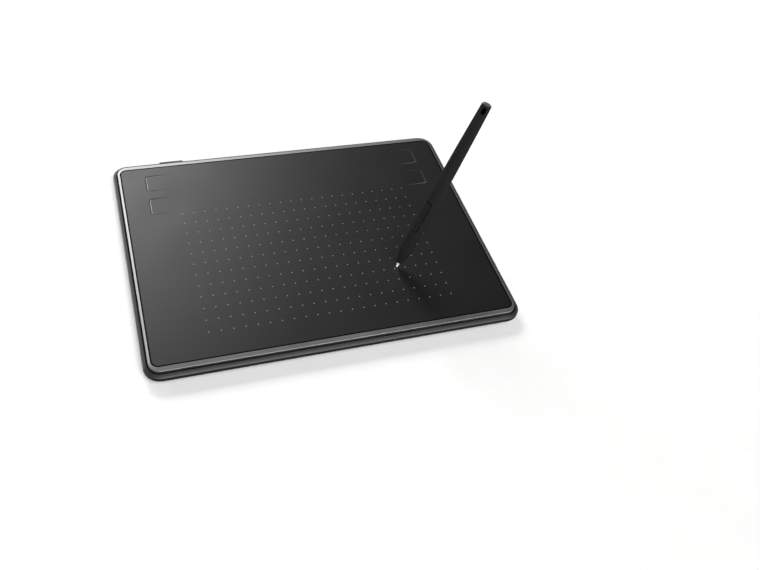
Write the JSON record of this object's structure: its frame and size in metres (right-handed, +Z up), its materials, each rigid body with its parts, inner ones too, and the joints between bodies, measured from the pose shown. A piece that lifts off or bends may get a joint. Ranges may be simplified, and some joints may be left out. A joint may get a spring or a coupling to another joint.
{
  "type": "pen drawing tablet",
  "caption": "Thin drawing tablet with a dotted panel, press keys in the back corners and a cable inlet behind, with a slim pen that has a side button and stands on its nib.",
  "frame": {"origin": "on the surface the feet rest on, below the middle of the tablet", "axes": "+X to the writer's right along the long side, +Y away from the writer, +Z up"},
  "size_m": [0.186, 0.1397, 0.0993],
  "materials": {
    "tray": "fine matt texture",
    "rim": "satin",
    "panel": "satin film with printed dots",
    "board": "solder mask",
    "shield": "bare",
    "chip": "moulded",
    "inlet": "plated",
    "inlet_tongue": "moulded",
    "foot": "matt",
    "screw": "blackened",
    "switch": "plated",
    "plunger": "moulded",
    "pen": "satin",
    "pen_tail": "satin",
    "pen_button": "satin",
    "nib": "smooth",
    "holder": "moulded",
    "ferrite": "sintered",
    "coil": "enamelled wire"
  },
  "bodies": {
    "tablet": {"bottom_cover": "tray", "top_cover": "rim", "drawing_panel": "panel", "sensor_board": "board", "shield_plate": "shield", "processor_chip": "chip", "driver_chip_left": "chip", "driver_chip_right": "chip", "usb_shell": "inlet", "usb_tongue": "inlet_tongue", "foot_front_left": "foot", "case_screw_front_left": "screw", "foot_front_right": "foot", "case_screw_front_right": "screw", "foot_back_left": "foot", "case_screw_back_left": "screw", "foot_back_right": "foot", "case_screw_back_right": "screw", "switch_body_left_back": "switch", "switch_body_left_front": "switch", "switch_body_right_back": "switch", "switch_body_right_front": "switch"},
    "pen": {"pen_nose": "pen", "pen_barrel": "pen", "pen_tail": "pen_tail", "pen_ferrite": "ferrite", "pen_coil": "coil", "pen_force_sensor": "shield", "pen_board": "board", "pen_switch_front": "switch", "pen_switch_back": "switch"},
    "nib": {"pen_nib": "nib", "pen_nib_holder": "holder"},
    "rocker": {"pen_rocker": "pen_button"},
    "key_left_back": {"key_left_back": "panel"},
    "plunger_left_back": {"switch_plunger_left_back": "plunger"},
    "key_left_front": {"key_left_front": "panel"},
    "plunger_left_front": {"switch_plunger_left_front": "plunger"},
    "key_right_back": {"key_right_back": "panel"},
    "plunger_right_back": {"switch_plunger_right_back": "plunger"},
    "key_right_front": {"key_right_front": "panel"},
    "plunger_right_front": {"switch_plunger_right_front": "plunger"}
  },
  "joints": [
    {"name": "pen_lift", "type": "slide", "parent": "tablet", "child": "pen", "axis": [0, 0, 1], "range_m": [0, 0.06]},
    {"name": "nib_press", "type": "slide", "parent": "pen", "child": "nib", "axis": [0.3263, 0.1358, 0.9354], "range_m": [0, 0.0004], "stiffness_N_per_m": 300},
    {"name": "rocker_tilt", "type": "hinge", "parent": "pen", "child": "rocker", "pos_m": [0.04672, -0.02494, 0.04008], "axis": [0.3843, -0.9232, 0], "range_deg": [-2, 2], "stiffness_Nm_per_rad": 0.05},
    {"name": "key_left_back_press", "type": "hinge", "parent": "tablet", "child": "key_left_back", "pos_m": [-0.062, 0.052, 0.0074], "axis": [0, -1, 0], "range_deg": [0, 1.4], "stiffness_Nm_per_rad": 0.1},
    {"name": "plunger_left_back_travel", "type": "slide", "parent": "tablet", "child": "plunger_left_back", "axis": [0, 0, -1], "range_m": [0, 0.0003]},
    {"name": "key_left_front_press", "type": "hinge", "parent": "tablet", "child": "key_left_front", "pos_m": [-0.062, 0.0346, 0.0074], "axis": [0, -1, 0], "range_deg": [0, 1.4], "stiffness_Nm_per_rad": 0.1},
    {"name": "plunger_left_front_travel", "type": "slide", "parent": "tablet", "child": "plunger_left_front", "axis": [0, 0, -1], "range_m": [0, 0.0003]},
    {"name": "key_right_back_press", "type": "hinge", "parent": "tablet", "child": "key_right_back", "pos_m": [0.062, 0.052, 0.0074], "axis": [0, 1, 0], "range_deg": [0, 1.4], "stiffness_Nm_per_rad": 0.1},
    {"name": "plunger_right_back_travel", "type": "slide", "parent": "tablet", "child": "plunger_right_back", "axis": [0, 0, -1], "range_m": [0, 0.0003]},
    {"name": "key_right_front_press", "type": "hinge", "parent": "tablet", "child": "key_right_front", "pos_m": [0.062, 0.0346, 0.0074], "axis": [0, 1, 0], "range_deg": [0, 1.4], "stiffness_Nm_per_rad": 0.1},
    {"name": "plunger_right_front_travel", "type": "slide", "parent": "tablet", "child": "plunger_right_front", "axis": [0, 0, -1], "range_m": [0, 0.0003]}
  ],
  "couplings": [
    {"joint": "plunger_left_back_travel", "follows": "key_left_back_press", "m_per_rad": 0.0106},
    {"joint": "plunger_left_front_travel", "follows": "key_left_front_press", "m_per_rad": 0.0106},
    {"joint": "plunger_right_back_travel", "follows": "key_right_back_press", "m_per_rad": 0.0106},
    {"joint": "plunger_right_front_travel", "follows": "key_right_front_press", "m_per_rad": 0.0106}
  ]
}
